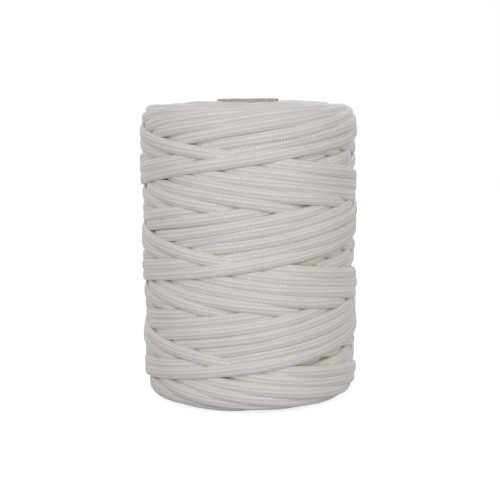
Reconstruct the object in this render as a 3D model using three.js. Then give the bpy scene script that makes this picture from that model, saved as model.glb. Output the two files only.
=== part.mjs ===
// A reel of braided cord: a paper tube, open right through, with a cross-wound package of cord
// on it and no flanges. Millimetres, +Z up, standing on the tube's lower end at z = 0.
import * as THREE from 'three';

// Driving dimensions, in millimetres.
const tubeOutside = 19;
const tubeWall = 1.5;
const tubeLength = 91;
const packageDiameter = 67;
const packageHeight = 90;
const cordDiameter = 3;
const standClearance = 0.4; // the tube stands this far proud below the package
const tubeClearance = 0.3; // between the tube and the inner layers
const endClearance = 0.3; // between the tucked ends of the cord and the inner layers
const layerClearance = 0.65; // between rising and falling turns, where they cross
const backClearance = 0.4; // between the rising turns and the layers under them
const flatEndWidth = 9; // flat part of the inner layers' end face, out from the tube
const shoulderHeight = 3; // how far the inner layers round off at each end
const edgeDrop = 1.4; // how much lower the outer turns stop than the end face

// Counts of the winding.
const traverses = 4; // times that the outer layer goes up and down again
const turnsPerTraverse = 5.75; // turns in one way up and one way down
const turnRounding = 0.1; // turns over which the cord rounds off as it turns back
const changeover = 0.1; // turns over which it climbs between the two levels
const startLead = 0.0625; // turns before the lower edge where the first end comes up
const endLead = 0.2; // turns before the lower edge where the last end goes down
const startAngle = 147; // degrees round from +X where the rising turns leave the lower edge

// Fineness of the faceted solids.
const tubeSides = 48;
const shoulderSteps = 6;
const stepsPerTurn = 24;
const cordSides = 6;

const cordRadius = cordDiameter / 2;
const packageBottom = standClearance;
const packageTop = packageBottom + packageHeight;

// The outer layer has two levels: turns that rise, and turns that fall over them.
const fallingRadius = packageDiameter / 2 - cordRadius;
const risingRadius = fallingRadius - cordDiameter - layerClearance;
const innerRadius = risingRadius - cordRadius - backClearance;

const winding = windingRoute();

const tubeMaterial = new THREE.MeshStandardMaterial({ color: 0x9c8a72, roughness: 0.9, metalness: 0 });
const innerMaterial = new THREE.MeshStandardMaterial({ color: 0xbdb9af, roughness: 0.8, metalness: 0 });
const cordMaterial = new THREE.MeshStandardMaterial({ color: 0xd2cfc8, roughness: 0.7, metalness: 0 });

const group = new THREE.Group();
group.add(part('core_tube', tubeGeometry(), tubeMaterial));
group.add(part('inner_winding', innerGeometry(), innerMaterial));
group.add(part('outer_winding', cordGeometry(winding), cordMaterial));

const length = routeLength(winding);
console.log(`outer layer: ${(length / 1000).toFixed(2)} m of cord`);
console.log(`least gap of the cord to itself: ${leastGap(winding).toFixed(2)} mm`);

export default group;

function part(name, geometry, material) {
  const mesh = new THREE.Mesh(geometry, material);
  mesh.name = name;
  return mesh;
}

// A closed profile of [radius, height] points, turned about the Z axis.
function turned(profile) {
  const points = profile.map(([radius, height]) => new THREE.Vector2(radius, height));
  const geometry = new THREE.LatheGeometry(points, tubeSides);
  geometry.rotateX(Math.PI / 2);
  return geometry;
}

function tubeGeometry() {
  const outer = tubeOutside / 2;
  const inner = outer - tubeWall;
  return turned([
    [inner, 0],
    [outer, 0],
    [outer, tubeLength],
    [inner, tubeLength],
    [inner, 0],
  ]);
}

// The inner layers: a thick sleeve with flat end faces and elliptical shoulders.
function innerGeometry() {
  const hole = tubeOutside / 2 + tubeClearance;
  const flat = hole + flatEndWidth;
  const profile = [[hole, packageBottom]];
  for (let step = 0; step <= shoulderSteps; step += 1) {
    const angle = (step / shoulderSteps) * (Math.PI / 2);
    const radius = flat + (innerRadius - flat) * Math.sin(angle);
    profile.push([radius, packageBottom + shoulderHeight * (1 - Math.cos(angle))]);
  }
  for (let step = shoulderSteps; step >= 0; step -= 1) {
    const angle = (step / shoulderSteps) * (Math.PI / 2);
    const radius = flat + (innerRadius - flat) * Math.sin(angle);
    profile.push([radius, packageTop - shoulderHeight * (1 - Math.cos(angle))]);
  }
  profile.push([hole, packageTop]);
  profile.push([hole, packageBottom]);
  return turned(profile);
}

// Height and level of the cord after a number of turns. Level 0 is rising, 1 is falling.
function traverseAt(turns) {
  const halfTraverse = turnsPerTraverse / 2;
  const low = packageBottom + edgeDrop + cordRadius;
  const high = packageTop - edgeDrop - cordRadius;
  const lead = (high - low) / (halfTraverse - turnRounding);
  const phase = ((turns % turnsPerTraverse) + turnsPerTraverse) % turnsPerTraverse;
  const fromLow = phase < halfTraverse ? phase : turnsPerTraverse - phase;
  const fromHigh = halfTraverse - fromLow;
  const height = low + lead * (roundedOff(fromLow) - turnRounding / 2);
  const nearest = Math.min(fromLow, fromHigh);
  const dip = fromHigh < turnRounding ? lead * (roundedOff(fromHigh) - fromHigh) : 0;
  const rising = phase < halfTraverse;
  const blend = 0.5 + 0.5 * Math.sin((Math.min(nearest / changeover, 1) * Math.PI) / 2);
  return { height: height - dip, level: rising ? 1 - blend : blend };
}

// The distance in turns from where the cord turns back, with the sharp turn made a parabola.
function roundedOff(distance) {
  if (distance >= turnRounding) {
    return distance;
  }
  return (distance * distance + turnRounding * turnRounding) / (2 * turnRounding);
}

function cylindrical(radius, turns, height) {
  const angle = turns * 2 * Math.PI + THREE.MathUtils.degToRad(startAngle);
  return new THREE.Vector3(radius * Math.cos(angle), radius * Math.sin(angle), height);
}

function radiusAt(turns) {
  return risingRadius + (fallingRadius - risingRadius) * traverseAt(turns).level;
}

// The first end comes up at the height of the lower edge.
function heightAt(turns) {
  return traverseAt(Math.max(turns, 0)).height;
}

// The middle line of the outer layer, from one tucked end to the other.
function windingRoute() {
  const first = -startLead;
  const last = traverses * turnsPerTraverse - endLead;
  const steps = Math.round((last - first) * stepsPerTurn);
  const middle = [];
  for (let step = 0; step <= steps; step += 1) {
    const turns = first + (step / steps) * (last - first);
    middle.push(cylindrical(radiusAt(turns), turns, heightAt(turns)));
  }
  return [...tuckedEnd(first, -1).reverse(), ...middle, ...tuckedEnd(last, 1)];
}

// An end bends inwards in a quarter circle, then runs straight in for one diameter.
function tuckedEnd(turns, direction) {
  const radius = radiusAt(turns);
  const foot = innerRadius + endClearance;
  const bend = radius - foot - cordDiameter;
  const bendTurns = (direction * bend) / (radius * 2 * Math.PI);
  const points = [];
  for (const angle of [Math.PI / 4, Math.PI / 2]) {
    const reached = turns + bendTurns * Math.sin(angle);
    const inwards = bend * (1 - Math.cos(angle));
    points.push(cylindrical(radius - inwards, reached, heightAt(reached)));
  }
  const across = turns + bendTurns;
  points.push(cylindrical(foot, across, heightAt(across)));
  return points;
}

// One closed tube round the route, with a flat cap on each end.
function cordGeometry(route) {
  const vertices = [];
  route.forEach((point, index) => {
    const before = route[Math.max(index - 1, 0)];
    const after = route[Math.min(index + 1, route.length - 1)];
    const along = new THREE.Vector3().subVectors(after, before).normalize();
    const up = new THREE.Vector3(0, 0, 1).addScaledVector(along, -along.z).normalize();
    const across = new THREE.Vector3().crossVectors(along, up);
    for (let side = 0; side < cordSides; side += 1) {
      const angle = (side / cordSides) * 2 * Math.PI;
      const corner = point.clone();
      corner.addScaledVector(up, cordRadius * Math.cos(angle));
      corner.addScaledVector(across, cordRadius * Math.sin(angle));
      vertices.push(corner.x, corner.y, corner.z);
    }
  });
  const geometry = new THREE.BufferGeometry();
  geometry.setAttribute('position', new THREE.Float32BufferAttribute(vertices, 3));
  geometry.setIndex(cordFaces(route.length));
  return geometry;
}

function cordFaces(rings) {
  const faces = [];
  for (let ring = 0; ring < rings - 1; ring += 1) {
    for (let side = 0; side < cordSides; side += 1) {
      const a = ring * cordSides + side;
      const b = ring * cordSides + ((side + 1) % cordSides);
      faces.push(a, b, a + cordSides);
      faces.push(b, b + cordSides, a + cordSides);
    }
  }
  const lastRing = (rings - 1) * cordSides;
  for (let side = 1; side < cordSides - 1; side += 1) {
    faces.push(0, side + 1, side);
    faces.push(lastRing, lastRing + side, lastRing + side + 1);
  }
  return faces;
}

function routeLength(route) {
  let total = 0;
  for (let index = 1; index < route.length; index += 1) {
    total += route[index].distanceTo(route[index - 1]);
  }
  return total;
}

// The least gap between turns, measured on points along the middle line.
function leastGap(route) {
  const samplesPerStep = 4;
  const apart = 4 * cordDiameter; // nearer along the cord than this is the same stretch
  const samples = [];
  let along = 0;
  for (let index = 1; index < route.length; index += 1) {
    for (let sample = 0; sample < samplesPerStep; sample += 1) {
      const share = sample / samplesPerStep;
      const point = new THREE.Vector3().lerpVectors(route[index - 1], route[index], share);
      samples.push({ point, along: along + share * route[index].distanceTo(route[index - 1]) });
    }
    along += route[index].distanceTo(route[index - 1]);
  }
  let least = Infinity;
  for (let one = 0; one < samples.length; one += 1) {
    for (let other = one + 1; other < samples.length; other += 1) {
      if (samples[other].along - samples[one].along > apart) {
        least = Math.min(least, samples[one].point.distanceTo(samples[other].point));
      }
    }
  }
  return least - cordDiameter;
}
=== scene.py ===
import math

import bpy
import numpy as np
from mathutils import Matrix, Vector


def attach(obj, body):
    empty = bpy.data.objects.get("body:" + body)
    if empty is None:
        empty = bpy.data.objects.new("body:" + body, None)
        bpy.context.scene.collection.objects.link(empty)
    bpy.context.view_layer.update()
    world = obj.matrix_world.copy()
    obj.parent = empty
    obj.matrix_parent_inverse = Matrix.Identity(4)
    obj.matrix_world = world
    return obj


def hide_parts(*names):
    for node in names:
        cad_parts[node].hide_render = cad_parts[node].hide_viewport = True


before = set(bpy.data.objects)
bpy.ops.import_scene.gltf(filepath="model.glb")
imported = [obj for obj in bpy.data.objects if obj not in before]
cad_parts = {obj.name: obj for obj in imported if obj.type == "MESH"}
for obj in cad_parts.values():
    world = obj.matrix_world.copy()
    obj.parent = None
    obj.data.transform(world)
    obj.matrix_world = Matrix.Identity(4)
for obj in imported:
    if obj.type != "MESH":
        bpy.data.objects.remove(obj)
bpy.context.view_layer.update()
print("frame loaded:", sorted(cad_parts))

mm = 0.001


# An sRGB hex code as a linear colour, by the sRGB standard's own curve.
def colour(code):
    channels = [int(code[i:i + 2], 16) / 255 for i in (1, 3, 5)]
    linear = [c / 12.92 if c <= 0.04045 else ((c + 0.055) / 1.055) ** 2.4 for c in channels]
    return linear + [1.0]


# Inputs go by place in a tuple, or by name or place in a dictionary, each a socket to link or a
# constant. A Mix of colours has its share at 0 and the colours at 6 and 7, and its result at 2.
def addNode(tree, kind, inputs=(), **settings):
    node = tree.nodes.new(kind)
    for name, value in settings.items():
        setattr(node, name, value)
    for socket, value in inputs.items() if isinstance(inputs, dict) else enumerate(inputs):
        if isinstance(value, bpy.types.NodeSocket):
            tree.links.new(value, node.inputs[socket])
        else:
            node.inputs[socket].default_value = value
    return node.outputs


# The node tree of a new material or world, emptied.
def emptyTree(owner):
    owner.use_nodes = True
    owner.node_tree.nodes.clear()
    return owner.node_tree


def addObject(name, data):
    added = bpy.data.objects.new(name, data)
    bpy.context.collection.objects.link(added)
    return added


# The paper tube, in millimetres.
tube = {
    "outer": 9.5,
    "inner": 8.0,
    "length": 91.0,
    "sides": 144,
    "wallParts": 4,  # lengths that rows of points part the wall into
    "rimRound": 0.22,
    "rimParts": 3,  # steps of each rounded edge
    "rimRoughness": 0.07,  # the saw leaves the rim a little uneven
    "seed": 3,
    "plies": 5,
}

# Spiral-wound recycled kraft paper: a matt, pale brown-grey sheet with fibre flecks, one seam
# that winds round it, and a sawn rim where the plies' edges show as darker rings, painted paler
# as a painted highlight for the light that the cut edge catches.
paper = {
    "sheet": "#d1c9bc",
    "fleck": "#b8ad9e",
    # painted highlight: the rim's paler colour, for the light the cut edge catches
    "rim": "#d6cec0",
    "rimRange": (0.5, 0.9),  # from wall to rim: 0 is an upright face and 1 a level one
    "seam": "#93867a",
    "seamAdvance": 50.0,  # millimetres along the tube for each turn of the strip
    "seamWidth": 0.25,
    "seamDepth": 1.5,  # in the relief, where the fibres are 1
    "plyEdge": 0.2,  # share of a ply
    "lineStrength": 0.7,  # how much the seam and the rings take on the seam's colour
    "fibresPerMetre": 1500.0,
    "fibreDetail": 4.0,
    "cloudsPerMetre": 260.0,
    "cloudDetail": 3.0,
    "fleckRange": (0.8, 1.25),  # from fleck to sheet, in the sum of fibres and clouds
    "relief": 0.05,  # millimetres
    "roughness": 0.88,
}


def kraftPaper():
    material = bpy.data.materials.new("kraftPaper")
    tree = emptyTree(material)

    # The seam: how near a point is to the edge of its strip.
    place = addNode(tree, "ShaderNodeTexCoord")["Object"]
    parts = addNode(tree, "ShaderNodeSeparateXYZ", (place,))
    angle = addNode(tree, "ShaderNodeMath", (parts["Y"], parts["X"]), operation="ARCTAN2")[0]
    turn = addNode(tree, "ShaderNodeMath", (angle, -1 / math.tau), operation="MULTIPLY")[0]
    strips = addNode(tree, "ShaderNodeMath", (parts["Z"], 1 / (paper["seamAdvance"] * mm), turn),
                     operation="MULTIPLY_ADD")[0]
    fromSeam = addNode(tree, "ShaderNodeMath", (strips, 0.5), operation="PINGPONG")[0]
    seamShare = paper["seamWidth"] / paper["seamAdvance"]
    seam = addNode(tree, "ShaderNodeMapRange", (fromSeam, 0.0, seamShare, 1.0, 0.0))[0]

    fibres = addNode(tree, "ShaderNodeTexNoise", {
        "Vector": place,
        "Scale": paper["fibresPerMetre"],
        "Detail": paper["fibreDetail"],
    })[0]
    clouds = addNode(tree, "ShaderNodeTexNoise", {
        "Vector": place,
        "Scale": paper["cloudsPerMetre"],
        "Detail": paper["cloudDetail"],
    })[0]
    both = addNode(tree, "ShaderNodeMath", (fibres, clouds))[0]
    clear = addNode(tree, "ShaderNodeMapRange", (both, *paper["fleckRange"]))[0]
    sheet = addNode(tree, "ShaderNodeMix",
                    {0: clear, 6: colour(paper["fleck"]), 7: colour(paper["sheet"])},
                    data_type="RGBA")[2]

    # The rim faces up or down and shows the edges of the plies. Its paler colour is a painted
    # highlight for the light that the cut edge catches.
    normal = addNode(tree, "ShaderNodeNewGeometry")["Normal"]
    upwards = addNode(tree, "ShaderNodeSeparateXYZ", (normal,))["Z"]
    level = addNode(tree, "ShaderNodeMath", (upwards,), operation="ABSOLUTE")[0]
    onRim = addNode(tree, "ShaderNodeMapRange", (level, *paper["rimRange"]))[0]
    withRimHighlight = addNode(tree, "ShaderNodeMix", {0: onRim, 6: sheet, 7: colour(paper["rim"])},
                      data_type="RGBA")[2]
    flat = addNode(tree, "ShaderNodeCombineXYZ", (parts["X"], parts["Y"], 0.0))[0]
    radius = addNode(tree, "ShaderNodeVectorMath", (flat,), operation="LENGTH")["Value"]
    ply = (tube["outer"] - tube["inner"]) / tube["plies"] * mm
    fromPly = addNode(tree, "ShaderNodeMath", (radius, ply / 2), operation="PINGPONG")[0]
    plyEdge = addNode(tree, "ShaderNodeMapRange",
                      (fromPly, 0.0, paper["plyEdge"] * ply, 1.0, 0.0))[0]
    rings = addNode(tree, "ShaderNodeMath", (plyEdge, onRim), operation="MULTIPLY")[0]

    lines = addNode(tree, "ShaderNodeMath", (rings, seam), operation="MAXIMUM")[0]
    faint = addNode(tree, "ShaderNodeMath", (lines, paper["lineStrength"]),
                    operation="MULTIPLY")[0]
    withLines = addNode(tree, "ShaderNodeMix", {0: faint, 6: withRimHighlight, 7: colour(paper["seam"])},
                        data_type="RGBA")[2]
    relief = addNode(tree, "ShaderNodeMath", (lines, -paper["seamDepth"], fibres),
                     operation="MULTIPLY_ADD")[0]
    bumped = addNode(tree, "ShaderNodeBump",
                     {"Height": relief, "Distance": paper["relief"] * mm})[0]
    surface = addNode(tree, "ShaderNodeBsdfPrincipled", {
        "Base Color": withLines,
        "Normal": bumped,
        "Roughness": paper["roughness"],
    })[0]
    addNode(tree, "ShaderNodeOutputMaterial", {"Surface": surface})
    return material


# The wall's section with rounded rims, turned about Z.
def paperTube(material):
    rim = tube["rimRound"]
    wall = tube["length"] * np.arange(1, tube["wallParts"]) / tube["wallParts"]
    outerWall = [(tube["outer"], height) for height in wall]
    innerWall = [(tube["inner"], height) for height in wall[::-1]]
    corners = (
        (tube["outer"] - rim, rim, -90, outerWall),
        (tube["outer"] - rim, tube["length"] - rim, 0, []),
        (tube["inner"] + rim, tube["length"] - rim, 90, innerWall),
        (tube["inner"] + rim, rim, 180, []),
    )
    quarter = 90 * np.arange(tube["rimParts"] + 1) / tube["rimParts"]
    profile = []
    for radius, height, start, after in corners:
        for angle in np.radians(start + quarter):
            profile.append((radius + rim * math.cos(angle), height + rim * math.sin(angle)))
        profile += after
    radius, height = np.array(profile).T
    random = np.random.default_rng(tube["seed"])
    rough = random.uniform(0, tube["rimRoughness"], (tube["sides"], len(profile)))
    atTop = height > tube["length"] - rim / 2
    atFoot = height < rim / 2
    heights = height - rough * atTop + rough * atFoot
    angles = math.tau * np.arange(tube["sides"])[:, None] / tube["sides"]
    vertices = np.stack([radius * np.cos(angles), radius * np.sin(angles), heights], 2)

    rows = len(profile)
    side, row = (grid.ravel() for grid in np.mgrid[0:tube["sides"], 0:rows])
    here = side * rows
    beside = (side + 1) % tube["sides"] * rows
    nextRow = (row + 1) % rows
    faces = np.stack([here + row, beside + row, beside + nextRow, here + nextRow], 1)
    mesh = bpy.data.meshes.new("paper_tube")
    mesh.from_pydata((vertices.reshape(-1, 3) * mm).tolist(), [], faces.tolist())
    mesh.polygons.foreach_set("use_smooth", [True] * len(faces))
    mesh.materials.append(material)
    print("made paper_tube", len(faces), "faces")
    return addObject("paper_tube", mesh)


tubePiece = paperTube(kraftPaper())
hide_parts("core_tube")
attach(tubePiece, "root")

# The cord's path. The tube turns while a guide lays the cord up and down along it, and each
# crossing lifts the later strand over the earlier ones. Millimetres, and turns of the tube.
package = {
    "cordWidth": 3.75,  # more than the pitch, because neighbours press into each other
    "cordHeight": 2.9,  # the braid flattens a little under the winder's pull
    "squareness": 0.66,  # 1 is an oval, less is squarer where cords press on each other
    "pitch": 3.0,  # strand to strand, side by side
    "strandsPerLead": 10,
    "turnsPerRound": 6.1,  # once up and down, a tenth over: each strand lies one pitch on
    "rounds": 38.5,  # the last way is up
    "firstAngle": 162.0,  # degrees, turns the whole pattern about the tube
    "middle": 44.85,  # height that the guide swings about
    "bottom": 0.2,
    "height": 90.3,
    "stacks": {6: 23.0, 7: 23.7, 8: 24.1},  # thickness of so many strands, pressed together
    "shoulder": 5.0,  # radius at which the cord goes over the edge as it turns back
    "overEdge": 1.1,  # radians that it goes round that
    "mostBend": 1.5,  # radians, at most, where the guide swings too far
    "roomToBend": 8.0,  # out from the tube, below which the shoulder is shallower
    "endBulges": (0.0, 1.6),  # how far the lower and upper end faces fall back at their rims
    "bulgePower": 4,  # high, so that they fall back mostly near the rims
    "edgeSpread": 1.0,  # the cord turns back up to this far short, each time otherwise
    "leastRounding": 0.4,  # the guide's sharp turn loses this much height, or more
    "wander": 0.28,  # unevenness of the guide
    "wanderRates": (0.23, 0.71, 1.37, 2.9, 4.7),  # waves for each turn of the tube
    "calmTurns": 0.3,  # the wander fades over this towards each turnback
    "looseness": 0.2,  # unevenness of the pull
    "loosenessRates": (0.37, 0.9, 2.3, 4.1),
    "soften": 3.2,  # steps over which the cord climbs onto another strand
    "endTurns": 0.08,  # the last end stops this far before the edge, at the back
    "tuckTurns": 0.14,  # and goes down between strands over this
    "tuckDepth": 4.5,
    "seed": 7,
    "stepsPerTurn": 120,
}
lead = package["pitch"] * package["strandsPerLead"]  # along the tube for each of its turns
half = package["turnsPerRound"] / 2  # turns for one way, up or down


def sines(random, turns, rates, size):
    phases = random.uniform(0, math.tau, len(rates))
    waves = [np.sin(math.tau * rate * turns + phase) for rate, phase in zip(rates, phases)]
    return size * sum(waves) / math.sqrt(len(rates))


# The distance in turns from where the cord turns back, its sharp turn made a parabola.
def eased(distance, rounding):
    parabola = (distance * distance + rounding * rounding) / (2 * rounding)
    return np.where(distance < rounding, parabola, distance)


# How far the lower and upper end faces fall back, where the winding is this share complete.
def fallBack(share):
    outwards = share ** package["bulgePower"]
    return [bulge * outwards for bulge in package["endBulges"]]


# The height that the guide is at, for each step of the cord.
def guideHeight(random, turns, way, passed):
    ways = round(2 * package["rounds"])
    tipLow = package["middle"] - lead * half / 2
    tipHigh = package["middle"] + lead * half / 2
    atTop = np.arange(ways + 1) % 2 == 1
    backLow, backHigh = fallBack(np.arange(ways + 1) / ways)

    # The guide goes further than the cord, which loses height as it bends over the shoulder.
    over = package["overEdge"]
    spare = package["shoulder"] * (over - math.sin(over))
    inset = package["cordWidth"] / 2 + np.where(atTop, backHigh, backLow) - spare
    inset = inset + random.uniform(0, package["edgeSpread"], ways + 1)
    beyondLow = package["bottom"] + inset - tipLow
    beyondHigh = tipHigh - (package["bottom"] + package["height"] - inset)
    beyond = np.where(atTop, beyondHigh, beyondLow)
    rounding = 2 * np.maximum(beyond, package["leastRounding"]) / lead

    # Each way starts and ends with half a turnback, and between them it climbs evenly.
    fromStart = eased(passed, rounding[way])
    toEnd = eased(half - passed, rounding[way + 1])
    climbed = lead * np.where(passed < half / 2, fromStart, half - toEnd)
    height = np.where(way % 2 == 0, tipLow + climbed, tipHigh - climbed)
    calm = np.clip(np.minimum(passed, half - passed) / package["calmTurns"], 0, 1)
    return height + calm * sines(random, turns, package["wanderRates"], package["wander"])


# How many of the strands before a given one lie on a line.
def strandsOnLine(line, before):
    return np.floor((before - 1 - line) / package["strandsPerLead"]) + 1


# The radius at each step, from how many strands lie under it and how many lie there in all.
def stackedRadius(random, turns, way, height):
    across = package["strandsPerLead"]
    rising = way % 2 == 0
    strand = way // 2
    fromLow = (height - package["middle"]) / lead + half / 2
    crossing = np.where(rising, turns - 2 * half + fromLow, turns - fromLow) % 1
    crossing = np.round(crossing * across) % across
    under = strand // across + strandsOnLine(crossing, np.where(rising, strand, strand + 1))
    up, down = math.ceil(package["rounds"]), math.floor(package["rounds"])
    total = strandsOnLine(strand % across, np.where(rising, up, down))
    total = total + strandsOnLine(crossing, np.where(rising, down, up))
    counts, thicknesses = zip(*sorted(package["stacks"].items()))
    radius = tube["outer"] + np.interp(total, counts, thicknesses) * (under + 0.5) / total

    # A cord climbs onto another gently, so the steps are blurred with a bell curve.
    reach = int(4 * package["soften"])
    weights = np.exp(-0.5 * (np.arange(-reach, reach + 1) / package["soften"]) ** 2)
    radius = np.convolve(np.pad(radius, reach, mode="edge"), weights / weights.sum(), "valid")
    return radius + sines(random, turns, package["loosenessRates"], package["looseness"])


# Beyond the edges the cord follows the shoulder inwards as it turns back.
def overEdges(turns, height, radius):
    shoulder = package["shoulder"]
    backLow, backHigh = fallBack(turns / turns[-1])
    edge = package["cordWidth"] / 2 + shoulder * math.sin(package["overEdge"])
    low = package["bottom"] + edge + backLow
    high = package["bottom"] + package["height"] - edge - backHigh
    beyond = np.maximum(height - high, 0) + np.minimum(height - low, 0)
    bend = np.clip(beyond / shoulder, -package["mostBend"], package["mostBend"])
    out = radius - tube["outer"] - package["cordHeight"] / 2
    inwards = np.clip(out / package["roomToBend"], 0, 1) * shoulder * (1 - np.cos(bend))
    return np.clip(height, low, high) + shoulder * np.sin(bend), radius - inwards


def windCord():
    random = np.random.default_rng(package["seed"])
    last = package["rounds"] * package["turnsPerRound"]
    turns = np.arange(round(last * package["stepsPerTurn"])) / package["stepsPerTurn"]
    nudge = 1e-9  # so that rounding leaves no first step of a way on the way before
    way = np.floor(turns / half + nudge).astype(int)
    guided = guideHeight(random, turns, way, turns - way * half)
    radius = stackedRadius(random, turns, way, guided)
    height, radius = overEdges(turns, guided, radius)

    # The last end stops at the back and goes down between its neighbours.
    kept = turns < last - package["endTurns"]
    share = np.clip((turns - last + package["endTurns"]) / package["tuckTurns"] + 1, 0, 1)
    radius = radius - package["tuckDepth"] * share * share * (3 - 2 * share)
    angle = math.tau * turns + math.radians(package["firstAngle"])
    return np.stack([radius * np.cos(angle), radius * np.sin(angle), height], 1)[kept] * mm


points = windCord()
lengths = np.concatenate([[0], np.cumsum(np.linalg.norm(np.diff(points, axis=0), axis=1))])
perRound = round(package["turnsPerRound"] * package["stepsPerTurn"])
outermost = np.hypot(points[-perRound:, 0], points[-perRound:, 1]) / mm
print(f"winding: {lengths[-1]:.1f} m of cord,",
      f"last round {outermost.min():.1f} to {outermost.max():.1f} mm out")


# The cord's section swept along its path, with the places along and round it kept for the braid.
def sweepTree():
    tree = bpy.data.node_groups.new("sweptCord", "GeometryNodeTree")
    inputs = {"Geometry": "Geometry", "Width": "Float", "Height": "Float", "Sides": "Int",
              "Squareness": "Float", "Length before": "Float", "Material": "Material"}
    for name, kind in inputs.items():
        tree.interface.new_socket(name, in_out="INPUT", socket_type="NodeSocket" + kind)
    tree.interface.new_socket("Geometry", in_out="OUTPUT", socket_type="NodeSocketGeometry")
    given = addNode(tree, "NodeGroupInput")

    line = addNode(tree, "GeometryNodeMeshToCurve", {"Mesh": given["Geometry"]})[0]
    upright = addNode(tree, "GeometryNodeSetCurveNormal", {"Curve": line}, mode="Z_UP")[0]
    fromStart = addNode(tree, "GeometryNodeSplineParameter")["Length"]
    along = addNode(tree, "ShaderNodeMath", (fromStart, given["Length before"]))[0]
    path = addNode(tree, "GeometryNodeStoreNamedAttribute",
                   {"Geometry": upright, "Name": "along", "Value": along})[0]

    # The section is a circle made fuller at its corners, then as high and wide as the cord.
    circle = addNode(tree, "GeometryNodeCurvePrimitiveCircle",
                     {"Resolution": given["Sides"], "Radius": 1.0})[0]
    place = addNode(tree, "GeometryNodeInputPosition")[0]
    around = addNode(tree, "GeometryNodeStoreNamedAttribute",
                     {"Geometry": circle, "Name": "around", "Value": place},
                     data_type="FLOAT_VECTOR")[0]
    sign = addNode(tree, "ShaderNodeVectorMath", (place,), operation="SIGN")[0]
    size = addNode(tree, "ShaderNodeVectorMath", (place,), operation="ABSOLUTE")[0]
    fuller = addNode(tree, "ShaderNodeVectorMath", (size, given["Squareness"]),
                     operation="POWER")[0]
    corners = addNode(tree, "ShaderNodeVectorMath", (fuller, sign), operation="MULTIPLY")[0]
    halfHeight = addNode(tree, "ShaderNodeMath", (given["Height"], 0.5), operation="MULTIPLY")[0]
    halfWidth = addNode(tree, "ShaderNodeMath", (given["Width"], 0.5), operation="MULTIPLY")[0]
    scale = addNode(tree, "ShaderNodeCombineXYZ", (halfHeight, halfWidth, 1.0))[0]
    section = addNode(tree, "ShaderNodeVectorMath", (corners, scale), operation="MULTIPLY")[0]
    profile = addNode(tree, "GeometryNodeSetPosition",
                      {"Geometry": around, "Position": section})[0]

    swept = addNode(tree, "GeometryNodeCurveToMesh",
                    {"Curve": path, "Profile Curve": profile, "Fill Caps": True})[0]
    smooth = addNode(tree, "GeometryNodeSetShadeSmooth", {"Geometry": swept})[0]
    real = addNode(tree, "GeometryNodeRealizeInstances", {"Geometry": smooth})[0]
    painted = addNode(tree, "GeometryNodeSetMaterial",
                      {"Geometry": real, "Material": given["Material"]})[0]
    addNode(tree, "NodeGroupOutput", (painted,))
    return tree


# Braided nylon: fine yarns over and under, so columns of short slanted stitches that lean to and
# fro, with only a faint shine. The hollows between stitches are painted a little warmer and
# darker, as painted shade.
braid = {
    "yarn": "#f8f7f6",
    # painted shade in the hollows between stitches
    "hollowShade": "#d9d6d1",
    "flankShade": "#ebe7de",  # painted shade: the sides, where strands press on each other in the grooves, darker and warmer
    "flankRange": (0.3, 0.9),  # from unshaded to fully shaded: 0 is the back of a strand and 1 its sides
    "flankReach": 38.0,  # millimetres from the middle; on the end faces the sides get no painted shade
    "flankFade": 2.0,  # millimetres, each way from there
    "columns": 12.0,
    "stitch": 0.78,  # millimetres along the cord, a little coarser than real, to show
    "stagger": 0.5,  # of a stitch, from one column to the next
    "slant": 0.5,
    "acrossDrop": 3.5,  # how steeply a stitch falls away to its sides
    "alongDrop": 4.0,  # and to its ends
    "rollPerMetre": 1.3,  # the braid turns slowly along its length
    "relief": 0.07,  # millimetres
    "cloudsPerMetre": 90.0,
    "cloudDetail": 3.0,
    "cloudRange": (0.3, 0.7),
    "unevenness": 0.05,  # how much of the light the clouds take
    "roughness": 0.55,
    "ior": 1.53,
    "gloss": 0.3,  # fibres scatter most of what a smooth face would mirror
    "sheen": 0.1,
    "sheenRoughness": 0.5,
}


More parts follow.
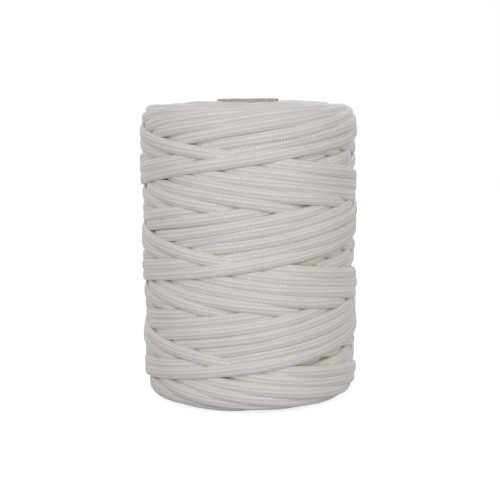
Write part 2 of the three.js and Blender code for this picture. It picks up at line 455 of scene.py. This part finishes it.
def braidedNylon():
    material = bpy.data.materials.new("braidedNylon")
    tree = emptyTree(material)

    # Each stitch has its column round the cord and its place in that column.
    along = addNode(tree, "ShaderNodeAttribute", attribute_name="along")["Fac"]
    around = addNode(tree, "ShaderNodeAttribute", attribute_name="around")["Vector"]
    parts = addNode(tree, "ShaderNodeSeparateXYZ", (around,))
    angle = addNode(tree, "ShaderNodeMath", (parts["Y"], parts["X"]), operation="ARCTAN2")[0]
    rolled = addNode(tree, "ShaderNodeMath", (along, math.tau * braid["rollPerMetre"], angle),
                     operation="MULTIPLY_ADD")[0]
    columns = addNode(tree, "ShaderNodeMath", (rolled, braid["columns"] / math.tau),
                      operation="MULTIPLY")[0]
    column = addNode(tree, "ShaderNodeMath", (columns,), operation="FLOOR")[0]
    odd = addNode(tree, "ShaderNodeMath", (column, 2.0), operation="FLOORED_MODULO")[0]
    acrossPart = addNode(tree, "ShaderNodeMath", (columns,), operation="FRACT")[0]
    across = addNode(tree, "ShaderNodeMath", (acrossPart, 0.5), operation="SUBTRACT")[0]
    lean = addNode(tree, "ShaderNodeMath", (odd, 2 * braid["slant"], -braid["slant"]),
                   operation="MULTIPLY_ADD")[0]
    staggered = addNode(tree, "ShaderNodeMath", (odd, braid["stagger"]), operation="MULTIPLY")[0]
    slanted = addNode(tree, "ShaderNodeMath", (across, lean, staggered),
                      operation="MULTIPLY_ADD")[0]
    stitches = addNode(tree, "ShaderNodeMath", (along, 1 / (braid["stitch"] * mm), slanted),
                       operation="MULTIPLY_ADD")[0]
    alongPart = addNode(tree, "ShaderNodeMath", (stitches,), operation="FRACT")[0]
    lengthwise = addNode(tree, "ShaderNodeMath", (alongPart, 0.5), operation="SUBTRACT")[0]

    # A stitch is a small dome, 1 in its middle and cut off at 0.
    acrossSquare = addNode(tree, "ShaderNodeMath", (across, across), operation="MULTIPLY")[0]
    alongSquare = addNode(tree, "ShaderNodeMath", (lengthwise, lengthwise),
                          operation="MULTIPLY")[0]
    ridge = addNode(tree, "ShaderNodeMath", (acrossSquare, -braid["acrossDrop"], 1.0),
                    operation="MULTIPLY_ADD")[0]
    dome = addNode(tree, "ShaderNodeMath", (alongSquare, -braid["alongDrop"], ridge),
                   operation="MULTIPLY_ADD", use_clamp=True)[0]
    # Painted shade: the hollows between the stitches take the darker, warmer hollow colour.
    stitched = addNode(tree, "ShaderNodeMix",
                       {0: dome, 6: colour(braid["hollowShade"]), 7: colour(braid["yarn"])},
                       data_type="RGBA")[2]

    # Painted shade: the strands' sides, where they meet their neighbours in the grooves, are
    # tinted darker and warmer, but not on the end faces.
    place = addNode(tree, "ShaderNodeTexCoord")["Object"]
    side = addNode(tree, "ShaderNodeMath", (parts["Y"],), operation="ABSOLUTE")[0]
    flankShade = addNode(tree, "ShaderNodeMapRange", (side, *braid["flankRange"]))[0]
    height = addNode(tree, "ShaderNodeSeparateXYZ", (place,))["Z"]
    above = addNode(tree, "ShaderNodeMath", (height, package["middle"] * mm),
                    operation="SUBTRACT")[0]
    away = addNode(tree, "ShaderNodeMath", (above,), operation="ABSOLUTE")[0]
    reach = braid["flankReach"] * mm
    fade = braid["flankFade"] * mm
    within = addNode(tree, "ShaderNodeMapRange", (away, reach - fade, reach + fade, 1.0, 0.0))[0]
    flankShadeShare = addNode(tree, "ShaderNodeMath", (flankShade, within), operation="MULTIPLY")[0]
    yarn = addNode(tree, "ShaderNodeMix", {0: flankShadeShare, 6: stitched, 7: colour(braid["flankShade"])},
                   data_type="RGBA")[2]

    clouds = addNode(tree, "ShaderNodeTexNoise", {
        "Vector": place,
        "Scale": braid["cloudsPerMetre"],
        "Detail": braid["cloudDetail"],
    })[0]
    tint = addNode(tree, "ShaderNodeMapRange",
                   (clouds, *braid["cloudRange"], 1 - braid["unevenness"], 1.0))[0]
    shaded = addNode(tree, "ShaderNodeVectorMath", (yarn, tint), operation="MULTIPLY")[0]
    bumped = addNode(tree, "ShaderNodeBump", {"Height": dome, "Distance": braid["relief"] * mm})[0]
    surface = addNode(tree, "ShaderNodeBsdfPrincipled", {
        "Base Color": shaded,
        "Normal": bumped,
        "Roughness": braid["roughness"],
        "IOR": braid["ior"],
        "Specular IOR Level": braid["gloss"],
        "Sheen Weight": braid["sheen"],
        "Sheen Roughness": braid["sheenRoughness"],
    })[0]
    addNode(tree, "ShaderNodeOutputMaterial", {"Surface": surface})
    return material


def sweptCord(name, tree, first, last, every, sides, material):
    path = points[first:last + 1:every]
    line = bpy.data.meshes.new(name)
    line.from_pydata(path.tolist(), [(i, i + 1) for i in range(len(path) - 1)], [])
    piece = addObject(name, line)
    modifier = piece.modifiers.new("sweep", "NODES")
    modifier.node_group = tree
    given = {
        "Width": package["cordWidth"] * mm,
        "Height": package["cordHeight"] * mm,
        "Sides": sides,
        "Squareness": package["squareness"],
        "Length before": float(lengths[first]),
        "Material": material,
    }
    for socket in tree.interface.items_tree:
        if socket.in_out == "INPUT" and socket.name in given:
            modifier[socket.identifier] = given[socket.name]
    evaluated = piece.evaluated_get(bpy.context.evaluated_depsgraph_get())
    mesh = bpy.data.meshes.new_from_object(evaluated)
    piece.modifiers.clear()
    piece.data = mesh
    mesh.name = name
    print("made", name, len(mesh.polygons), "faces")
    return piece


# The cord's skin is laid out flat in a UV map, in rows that fill a square. Shares of the square.
layout = {
    "edge": 0.006,
    "rowWidth": 0.965,
    "rowGap": 0.1,  # share of a row
    "rowTurns": 1.1,  # room in a row for one turn and for the face that goes past its end
    "capRadius": 0.006,
    "capHeights": (0.25, 0.75),
}


def layOut(mesh):
    count = len(mesh.vertices)
    along = np.empty(count, dtype=np.float32)
    around = np.empty(3 * count, dtype=np.float32)
    mesh.attributes["along"].data.foreach_get("value", along)
    mesh.attributes["around"].data.foreach_get("vector", around)
    corner = np.empty(len(mesh.loops), dtype=np.int32)
    mesh.loops.foreach_get("vertex_index", corner)
    starts = np.empty(len(mesh.polygons), dtype=np.int32)
    mesh.polygons.foreach_get("loop_start", starts)
    face = np.searchsorted(starts, np.arange(len(corner)), side="right") - 1
    along = along[corner] - along.min()
    around = around.reshape(-1, 3)[corner]
    turn = np.arctan2(around[:, 1], around[:, 0]) / math.tau % 1

    # A face that crosses the line where a turn ends goes past the end of its row.
    crosses = (np.maximum.reduceat(turn, starts) - np.minimum.reduceat(turn, starts) > 0.5)[face]
    turn = np.where(crosses & (turn < 0.5), turn + 1, turn)
    circumference = math.pi * (package["cordWidth"] + package["cordHeight"]) / 2 * mm
    rowLength = math.sqrt(along.max() * circumference)
    faceStart = np.minimum.reduceat(along, starts)[face]
    row = np.floor(faceStart / rowLength)
    across = layout["edge"] + layout["rowWidth"] * (along / rowLength - row)
    inRow = (1 - layout["rowGap"]) * turn / layout["rowTurns"]
    up = (row + layout["rowGap"] / 2 + inRow) / (row.max() + 1)

    # The two cut ends, with more than four corners each, go in the margin beside the rows.
    isCap = (np.diff(np.append(starts, len(corner))) > 4)[face]
    margin = 1 - layout["edge"] - layout["capRadius"]
    firstCap, lastCap = layout["capHeights"]
    capHeight = np.where(faceStart > 0, lastCap, firstCap)
    across = np.where(isCap, margin + layout["capRadius"] * around[:, 0], across)
    up = np.where(isCap, capHeight + layout["capRadius"] * around[:, 1], up)
    flat = mesh.uv_layers.new(name="OFBake")
    flat.uv.foreach_set("vector", np.stack([across, up], 1).astype(np.float32).ravel())


# First and last round, steps joined, sides, and the solid that each length of the cord dresses.
cordPieces = {
    "cord_outer_layer": (33, 39, 1, 14, "outer_winding"),
    "cord_under_layer": (28, 33, 1, 14, "inner_winding"),
    "cord_middle_layers": (13, 28, 2, 10, "inner_winding"),
    "cord_first_layers": (0, 13, 2, 10, "inner_winding"),
}
cordMaterial = braidedNylon()
cordSweep = sweepTree()
for name, (fromRound, toRound, every, sides, node) in cordPieces.items():
    last = min(toRound * perRound, len(points) - 1)
    piece = sweptCord(name, cordSweep, fromRound * perRound, last, every, sides, cordMaterial)
    layOut(piece.data)
    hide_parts(node)
    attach(piece, "root")

# A white paper floor, even light from all round, and a wide soft box before and behind the reel.
studio = {
    "floor": "#bfbfbf",
    "floorSize": 4.0,  # metres, half a side
    "floorRoughness": 0.9,
    "floorGlow": 0.785,  # added to the floor where it is seen, which makes it white
    "white": (1.0, 1.0, 1.0, 1.0),
    "ambient": 0.46,  # strength of the light from all round
    "lampPlaces": {"frontBox": (0.0, -0.45, 0.23), "backBox": (0.0, 0.45, 0.3)},  # metres
    "lampTarget": (0.0, 0.0, 0.045),
    "lampPower": 1.31,  # watts
    "lampWidth": 1.0,
    "lampHeight": 0.4,
}


# 1 where a surface is seen directly, in a mirror or through glass, and 0 where it lights others.
def seen(tree):
    rays = addNode(tree, "ShaderNodeLightPath")
    direct = addNode(tree, "ShaderNodeMath", (rays["Is Camera Ray"], rays["Is Glossy Ray"]),
                     operation="MAXIMUM")[0]
    return addNode(tree, "ShaderNodeMath", (direct, rays["Is Transmission Ray"]),
                   operation="MAXIMUM")[0]


def setFloor():
    size = studio["floorSize"]
    corners = [(-size, -size, 0), (size, -size, 0), (size, size, 0), (-size, size, 0)]
    mesh = bpy.data.meshes.new("floor")
    mesh.from_pydata(corners, [], [(0, 1, 2, 3)])
    floor = addObject("floor", mesh)
    material = bpy.data.materials.new("floorPaper")
    tree = emptyTree(material)
    glow = addNode(tree, "ShaderNodeMath", (seen(tree), studio["floorGlow"]),
                   operation="MULTIPLY")[0]
    surface = addNode(tree, "ShaderNodeBsdfPrincipled", {
        "Base Color": colour(studio["floor"]),
        "Roughness": studio["floorRoughness"],
        "Specular IOR Level": 0.0,
        "Emission Color": studio["white"],
        "Emission Strength": glow,
    })[0]
    addNode(tree, "ShaderNodeOutputMaterial", {"Surface": surface})
    mesh.materials.append(material)


def setLight():
    world = bpy.data.worlds.new("studio")
    bpy.context.scene.world = world
    tree = emptyTree(world)
    level = addNode(tree, "ShaderNodeMapRange", (seen(tree), 0.0, 1.0, studio["ambient"], 1.0))[0]
    sky = addNode(tree, "ShaderNodeBackground", {"Color": studio["white"], "Strength": level})[0]
    addNode(tree, "ShaderNodeOutputWorld", {"Surface": sky})

    target = Vector(studio["lampTarget"])
    for name, spot in studio["lampPlaces"].items():
        softBox = bpy.data.lights.new(name, "AREA")
        softBox.energy = studio["lampPower"]
        softBox.shape = "RECTANGLE"
        softBox.size = studio["lampWidth"]
        softBox.size_y = studio["lampHeight"]
        lamp = addObject(name, softBox)
        lamp.location = spot
        lamp.rotation_euler = (Vector(spot) - target).to_track_quat("Z", "Y").to_euler()


# The photograph's viewpoint: close, level with the top of the reel and looking down a little.
view = {
    "place": (0.2, -333.0, 93.5),  # millimetres
    "target": (0.2, 0.0, 43.85),
    "lens": 77.1,
    "sensor": 36.0,
    "nearest": 10.0,  # what is nearer than this doesn't show
    "roll": -0.6,  # degrees, the reel leans a little to the left
}


def setCamera():
    lens = bpy.data.cameras.new("photoView")
    lens.lens = view["lens"]
    lens.sensor_width = view["sensor"]
    lens.clip_start = view["nearest"] * mm
    camera = addObject("photoView", lens)
    place = Vector(view["place"]) * mm
    aim = (place - Vector(view["target"]) * mm).to_track_quat("Z", "Y").to_matrix()
    roll = Matrix.Rotation(math.radians(view["roll"]), 3, "Z")
    camera.location = place
    camera.rotation_euler = (aim @ roll).to_euler()
    bpy.context.scene.camera = camera


setFloor()
setLight()
setCamera()
bpy.context.scene.view_settings.view_transform = "Standard"
print("studio and camera set")
